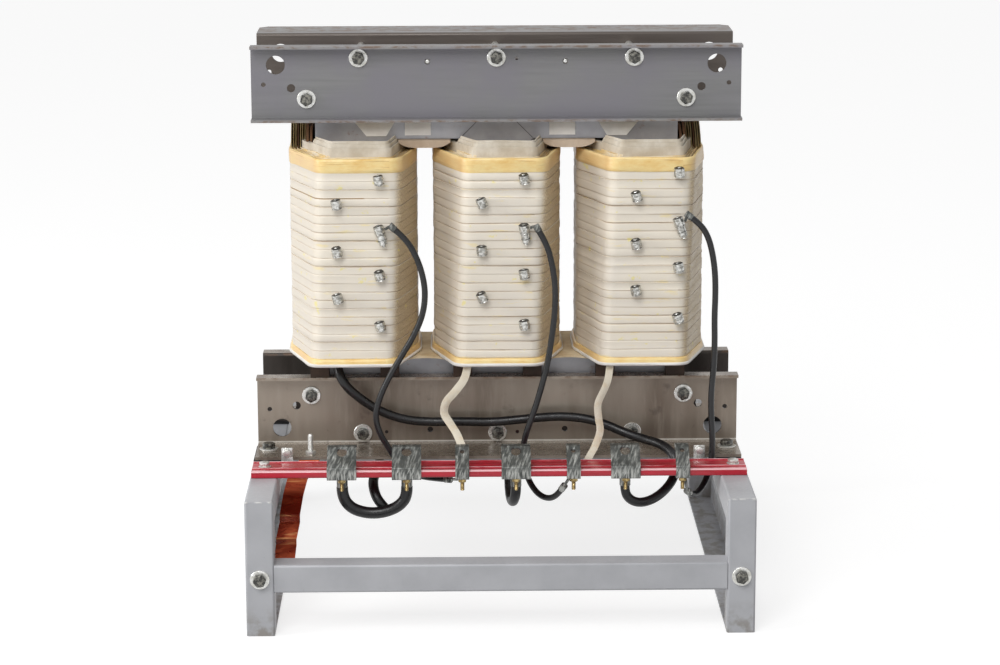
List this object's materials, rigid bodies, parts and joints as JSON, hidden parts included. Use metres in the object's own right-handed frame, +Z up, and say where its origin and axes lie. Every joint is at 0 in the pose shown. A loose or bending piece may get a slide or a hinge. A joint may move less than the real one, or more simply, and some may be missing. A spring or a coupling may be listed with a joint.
{
  "type": "dry type transformer",
  "caption": "Open dry type transformer: paper-wound coils on a laminated core, steel clamps, terminal bar with leads, on a square-tube stand.",
  "frame": {"origin": "centre of the stand's footprint, on the floor", "axes": "+X along the row of coils, towards the right seen from the terminal side; +Y from the terminal bar towards the rear; +Z up"},
  "size_m": [0.68, 0.72, 0.758],
  "materials": {
    "stand_paint": "light grey paint, satin",
    "upper_clamp_steel": "grey mill steel, satin",
    "lower_clamp_steel": "bare brownish steel, worn",
    "zinc": "bright zinc plate",
    "tinned": "tinned, mottled",
    "rubber": "matte",
    "core_steel": "laminated silicon steel",
    "pressboard": "matte pressboard",
    "white_paper": "matte paper",
    "inner_paper": "varnished paper",
    "winding_paper": "varnished paper, satin",
    "varnished_tape": "varnished tape, satin",
    "red_bar": "red glass-fibre laminate",
    "brass": "plain brass",
    "copper": "bare copper strip",
    "woven_tape": "woven tape",
    "black_cable": "black insulation, satin"
  },
  "bodies": {
    "root": {"bar_fasteners": "zinc", "beam_bolts": "zinc", "clamp_pads": "rubber", "coil_supports": "pressboard", "crimp_lugs": "tinned", "front_cross_beam": "stand_paint", "front_left_leg": "stand_paint", "front_right_leg": "stand_paint", "ground_strap": "copper", "h1_tape": "woven_tape", "h2_tape": "woven_tape", "hold_down_bolts": "zinc", "left_bottom_rim": "varnished_tape", "left_core_leg": "core_steel", "left_floor_angle": "stand_paint", "left_inner_winding": "inner_paper", "left_lead": "black_cable", "left_outer_winding": "winding_paper", "left_taps": "tinned", "left_top_band": "varnished_tape", "left_top_rail": "stand_paint", "lower_clamp_bolts": "zinc", "lower_front_clamp": "lower_clamp_steel", "lower_rear_clamp": "lower_clamp_steel", "lower_saddles": "pressboard", "lower_yoke": "core_steel", "lv_bundle": "black_cable", "middle_bottom_rim": "varnished_tape", "middle_core_leg": "core_steel", "middle_inner_winding": "inner_paper", "middle_lead": "black_cable", "middle_outer_winding": "winding_paper", "middle_taps": "tinned", "middle_top_band": "varnished_tape", "narrow_lugs": "tinned", "rear_cross_beam": "stand_paint", "rear_left_leg": "stand_paint", "rear_right_leg": "stand_paint", "right_bottom_rim": "varnished_tape", "right_core_leg": "core_steel", "right_floor_angle": "stand_paint", "right_inner_winding": "inner_paper", "right_lead": "black_cable", "right_outer_winding": "winding_paper", "right_taps": "tinned", "right_top_band": "varnished_tape", "right_top_rail": "stand_paint", "stud_bolts": "brass", "terminal_bar": "red_bar", "upper_clamp_bolts": "zinc", "upper_front_clamp": "upper_clamp_steel", "upper_rear_clamp": "upper_clamp_steel", "upper_saddles": "white_paper", "upper_yoke": "core_steel", "wide_lugs": "tinned", "x0_x1_sleeve": "black_cable", "x1_tail": "black_cable", "x2_tail": "black_cable", "yoke_strips": "pressboard", "yoke_wedges": "white_paper"}
  },
  "joints": []
}
